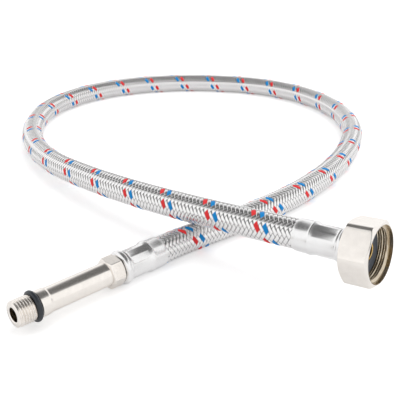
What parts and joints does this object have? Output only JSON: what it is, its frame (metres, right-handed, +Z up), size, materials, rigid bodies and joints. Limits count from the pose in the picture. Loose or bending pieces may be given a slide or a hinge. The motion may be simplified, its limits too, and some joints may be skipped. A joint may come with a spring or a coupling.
{
  "type": "tap connector hose",
  "caption": "Braided flexible tap connector lying in one loop, with a swivel union nut at one end and a long M10 tail with an O-ring at the other.",
  "frame": {"origin": "centre of the bounding box, at its bottom: the surface that the hose lies on", "axes": "+Z up from that surface, +X along the union nut's axis in plan, out of its mouth; the hose lies in one loop on XY"},
  "size_m": [0.2692, 0.293, 0.0363],
  "materials": {
    "braid": "stainless wire braid with a red and a blue tracer strand",
    "ferrule_steel": "bright stainless sleeve, crimped",
    "nickel_plate": "nickel plated brass, semi-bright",
    "bare_brass": "turned brass",
    "liner_rubber": "smooth black rubber",
    "ring_rubber": "moulded black rubber, slight sheen",
    "gasket_rubber": "flat grey rubber washer"
  },
  "bodies": {
    "hose": {"inner_tube": "liner_rubber", "braid_sleeve": "braid", "nut_end_ferrule": "ferrule_steel", "tail_end_ferrule": "ferrule_steel", "nut_end_insert": "bare_brass", "m10_tail": "nickel_plate", "o_ring": "ring_rubber"},
    "nut": {"union_nut": "nickel_plate", "flat_gasket": "gasket_rubber"}
  },
  "joints": [
    {"name": "nut_swivel", "type": "hinge", "parent": "hose", "child": "nut", "pos_m": [0.12291, -0.0606, 0.02336], "axis": [0.9919, 0, 0.1271], "continuous": true}
  ]
}
